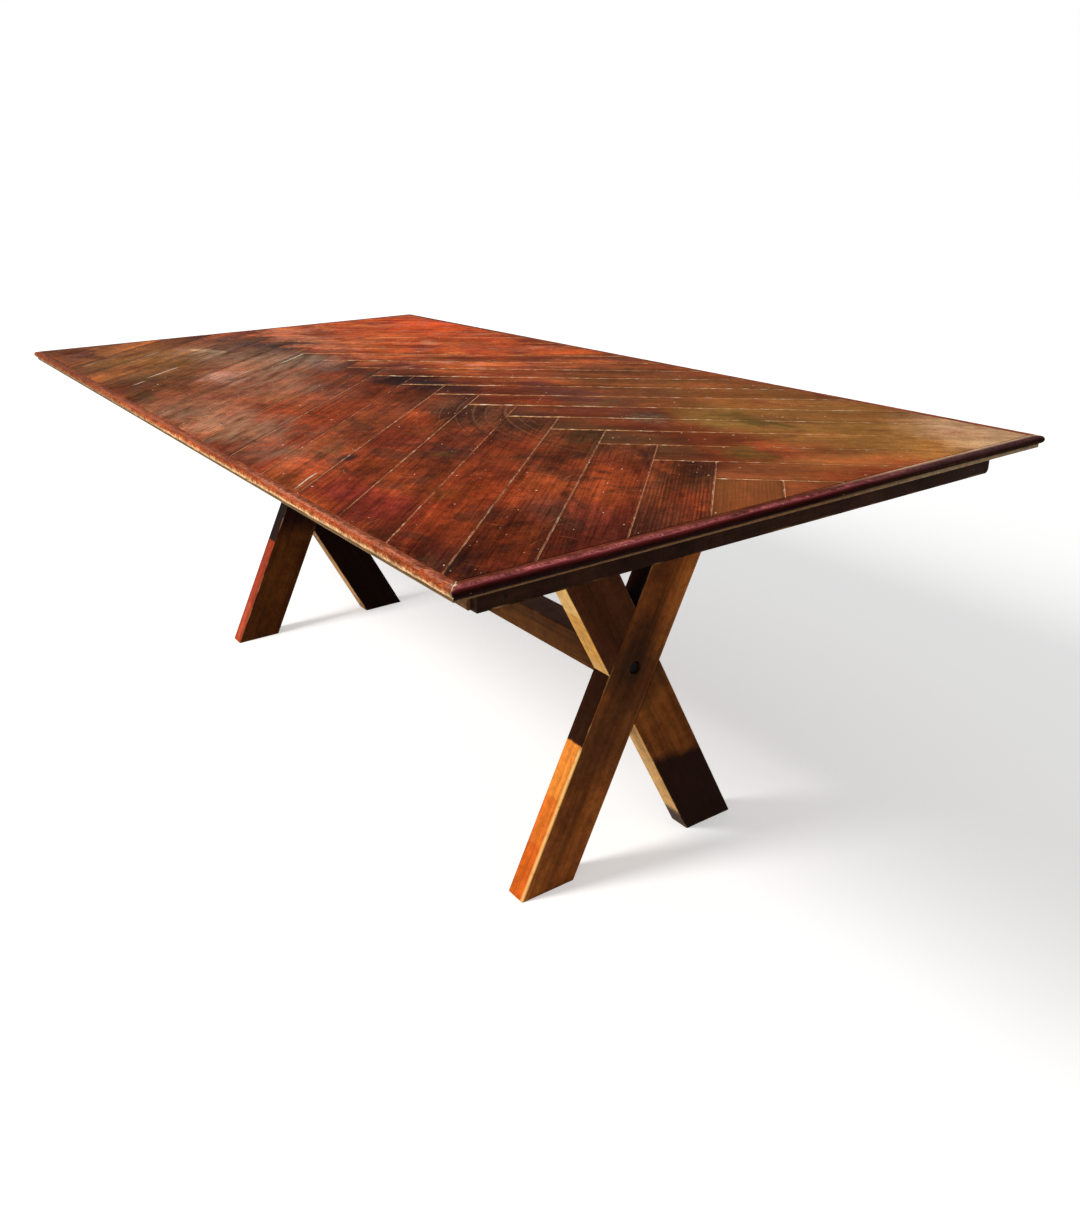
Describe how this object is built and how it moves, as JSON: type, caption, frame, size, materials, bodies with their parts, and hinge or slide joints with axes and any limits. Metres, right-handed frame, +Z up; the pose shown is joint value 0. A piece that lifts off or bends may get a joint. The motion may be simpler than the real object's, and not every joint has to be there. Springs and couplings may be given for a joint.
{
  "type": "sawbuck table",
  "caption": "Long dining table with a herringbone plank top, a half-round nosing, two crossed half-lapped trestles and a stretcher bolted between the crossings.",
  "frame": {"origin": "on the floor, under the middle of the table top", "axes": "+X along the table towards its front end, +Y across it to the right bank of boards, +Z up"},
  "size_m": [2.112, 1.094, 0.762],
  "materials": {
    "herringbone_boards": "mahogany-stained boards under a glossy varnish",
    "nosing": "red-brown stained moulding, glossy, worn pale on its edges",
    "plywood_panel": "raw plywood",
    "frame_timber": "very dark brown stain, satin",
    "trestle_timber": "warm brown stained timber, satin, eased edges",
    "zinc_steel": "zinc-plated steel"
  },
  "bodies": {
    "root": {"apron_nails": "zinc_steel", "back_apron": "frame_timber", "back_inner_lap_leg": "trestle_timber", "back_left_corner_boards": "herringbone_boards", "back_outer_lap_leg": "trestle_timber", "back_right_corner_boards": "herringbone_boards", "back_trestle_batten": "frame_timber", "backing_panel": "plywood_panel", "barrel_nuts": "zinc_steel", "centre_batten": "frame_timber", "crossing_bolts": "zinc_steel", "crossing_washers": "zinc_steel", "front_apron": "frame_timber", "front_centre_boards": "herringbone_boards", "front_inner_lap_leg": "trestle_timber", "front_outer_lap_leg": "trestle_timber", "front_trestle_batten": "frame_timber", "left_board_02": "herringbone_boards", "left_board_03": "herringbone_boards", "left_board_04": "herringbone_boards", "left_board_05": "herringbone_boards", "left_board_06": "herringbone_boards", "left_board_07": "herringbone_boards", "left_board_08": "herringbone_boards", "left_board_09": "herringbone_boards", "left_board_10": "herringbone_boards", "left_board_11": "herringbone_boards", "left_board_12": "herringbone_boards", "left_board_13": "herringbone_boards", "left_board_14": "herringbone_boards", "left_board_15": "herringbone_boards", "left_board_16": "herringbone_boards", "left_rail": "frame_timber", "leg_bolt_nuts": "zinc_steel", "leg_bolt_washers": "zinc_steel", "leg_bolts": "zinc_steel", "nosing_back": "nosing", "nosing_front": "nosing", "nosing_left": "nosing", "nosing_right": "nosing", "panel_screws": "zinc_steel", "right_board_02": "herringbone_boards", "right_board_03": "herringbone_boards", "right_board_04": "herringbone_boards", "right_board_05": "herringbone_boards", "right_board_06": "herringbone_boards", "right_board_07": "herringbone_boards", "right_board_08": "herringbone_boards", "right_board_09": "herringbone_boards", "right_board_10": "herringbone_boards", "right_board_11": "herringbone_boards", "right_board_12": "herringbone_boards", "right_board_13": "herringbone_boards", "right_board_14": "herringbone_boards", "right_board_15": "herringbone_boards", "right_board_16": "herringbone_boards", "right_rail": "frame_timber", "stretcher": "trestle_timber"}
  },
  "joints": []
}
